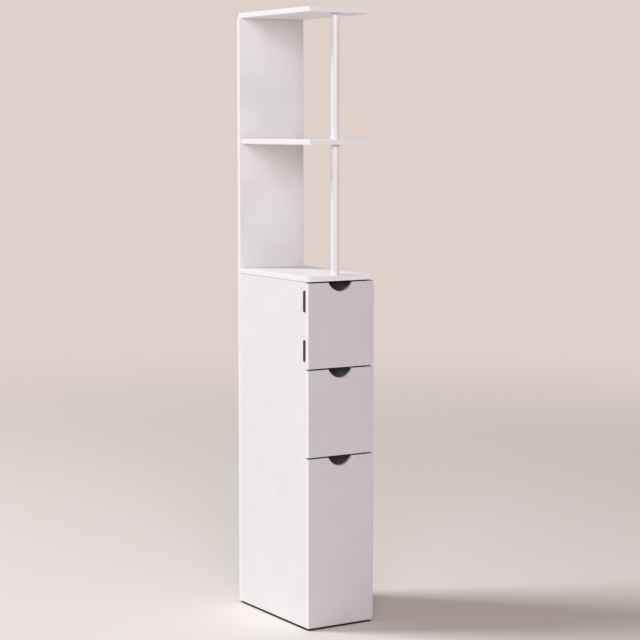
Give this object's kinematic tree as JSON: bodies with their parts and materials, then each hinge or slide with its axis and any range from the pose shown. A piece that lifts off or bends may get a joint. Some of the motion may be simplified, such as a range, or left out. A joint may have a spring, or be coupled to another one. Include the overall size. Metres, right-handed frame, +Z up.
{
  "type": "bathroom storage tower",
  "caption": "Slim white free-standing storage tower: open shelves on a back board and a round pole, above a cabinet with a hinged door and drawers with finger cut-outs.",
  "frame": {"origin": "on the floor, under the centre of the cabinet footprint between the side panels, the fronts and the back board", "axes": "+X to the right seen from the front, +Y towards the back board, +Z up; the fronts face -Y"},
  "size_m": [0.15, 0.27, 1.18],
  "materials": {
    "white_board": "smooth white foil on board, eased edges",
    "thin_board": "thin white fibreboard",
    "pole_paint": "white powder coat, satin",
    "plug_plastic": "grey moulded plastic",
    "glide_plastic": "white moulded plastic",
    "beech": "fluted beech dowel",
    "dark_hinge_steel": "dark grey coated steel, satin",
    "catch_plastic": "white moulded plastic",
    "magnet": "dark sintered magnet between steel pole plates",
    "runner_coating": "off-white epoxy coat on folded steel sheet",
    "roller_nylon": "off-white nylon",
    "zinc_steel": "bright zinc plating"
  },
  "bodies": {
    "carcass": {"back_panel": "white_board", "left_side_panel": "white_board", "right_side_panel": "white_board", "base_top_board": "white_board", "bottom_board": "white_board", "lower_divider": "white_board", "upper_divider": "white_board", "middle_shelf": "white_board", "top_board": "white_board", "lower_pole": "pole_paint", "upper_pole": "pole_paint", "pole_end_plugs": "plug_plastic", "pole_joint_stud": "zinc_steel", "pole_screws": "zinc_steel", "glides": "glide_plastic", "dowels": "beech", "carcass_screws": "zinc_steel", "hinge_frame_leaves": "dark_hinge_steel", "hinge_pins": "dark_hinge_steel", "hinge_frame_screws": "dark_hinge_steel", "catch_body": "catch_plastic", "catch_magnet": "magnet", "catch_screws": "zinc_steel", "middle_left_cabinet_runner": "runner_coating", "middle_right_cabinet_runner": "runner_coating", "lower_left_cabinet_runner": "runner_coating", "lower_right_cabinet_runner": "runner_coating", "cabinet_runner_screws": "zinc_steel"},
    "door": {"door_panel": "white_board", "hinge_door_leaves": "dark_hinge_steel", "hinge_door_screws": "dark_hinge_steel", "strike_plate": "zinc_steel", "strike_screw": "zinc_steel"},
    "middle_drawer": {"middle_drawer_front": "white_board", "middle_box_front": "white_board", "middle_box_left_side": "white_board", "middle_box_right_side": "white_board", "middle_box_back": "white_board", "middle_box_bottom": "thin_board", "middle_box_screws": "zinc_steel", "middle_front_screws": "zinc_steel", "middle_left_drawer_runner": "runner_coating", "middle_right_drawer_runner": "runner_coating", "middle_drawer_runner_screws": "zinc_steel"},
    "middle_front_rollers": {"middle_front_rollers": "roller_nylon"},
    "middle_rear_rollers": {"middle_rear_rollers": "roller_nylon"},
    "lower_drawer": {"lower_drawer_front": "white_board", "lower_box_front": "white_board", "lower_box_left_side": "white_board", "lower_box_right_side": "white_board", "lower_box_back": "white_board", "lower_box_bottom": "thin_board", "lower_box_screws": "zinc_steel", "lower_front_screws": "zinc_steel", "lower_left_drawer_runner": "runner_coating", "lower_right_drawer_runner": "runner_coating", "lower_drawer_runner_screws": "zinc_steel"},
    "lower_front_rollers": {"lower_front_rollers": "roller_nylon"},
    "lower_rear_rollers": {"lower_rear_rollers": "roller_nylon"}
  },
  "joints": [
    {"name": "door_hinge", "type": "hinge", "parent": "carcass", "child": "door", "pos_m": [-0.0735, -0.1218, 0.58425], "axis": [0, 0, -1], "range_deg": [0, 165]},
    {"name": "middle_drawer_slide", "type": "slide", "parent": "carcass", "child": "middle_drawer", "axis": [0, -1, 0], "range_m": [0, 0.16]},
    {"name": "lower_drawer_slide", "type": "slide", "parent": "carcass", "child": "lower_drawer", "axis": [0, -1, 0], "range_m": [0, 0.16]},
    {"name": "middle_front_rollers_turn", "type": "hinge", "parent": "carcass", "child": "middle_front_rollers", "pos_m": [0, -0.1115, 0.359], "axis": [1, 0, 0], "range_deg": [0, 1044]},
    {"name": "middle_rear_rollers_turn", "type": "hinge", "parent": "middle_drawer", "child": "middle_rear_rollers", "pos_m": [0, 0.0815, 0.359], "axis": [1, 0, 0], "range_deg": [0, 1044]},
    {"name": "lower_front_rollers_turn", "type": "hinge", "parent": "carcass", "child": "lower_front_rollers", "pos_m": [0, -0.1115, 0.027], "axis": [1, 0, 0], "range_deg": [0, 1044]},
    {"name": "lower_rear_rollers_turn", "type": "hinge", "parent": "lower_drawer", "child": "lower_rear_rollers", "pos_m": [0, 0.0815, 0.027], "axis": [1, 0, 0], "range_deg": [0, 1044]}
  ],
  "couplings": [
    {"joint": "middle_front_rollers_turn", "follows": "middle_drawer_slide", "rad_per_m": 113.64},
    {"joint": "middle_rear_rollers_turn", "follows": "middle_drawer_slide", "rad_per_m": 113.64},
    {"joint": "lower_front_rollers_turn", "follows": "lower_drawer_slide", "rad_per_m": 113.64},
    {"joint": "lower_rear_rollers_turn", "follows": "lower_drawer_slide", "rad_per_m": 113.64}
  ]
}
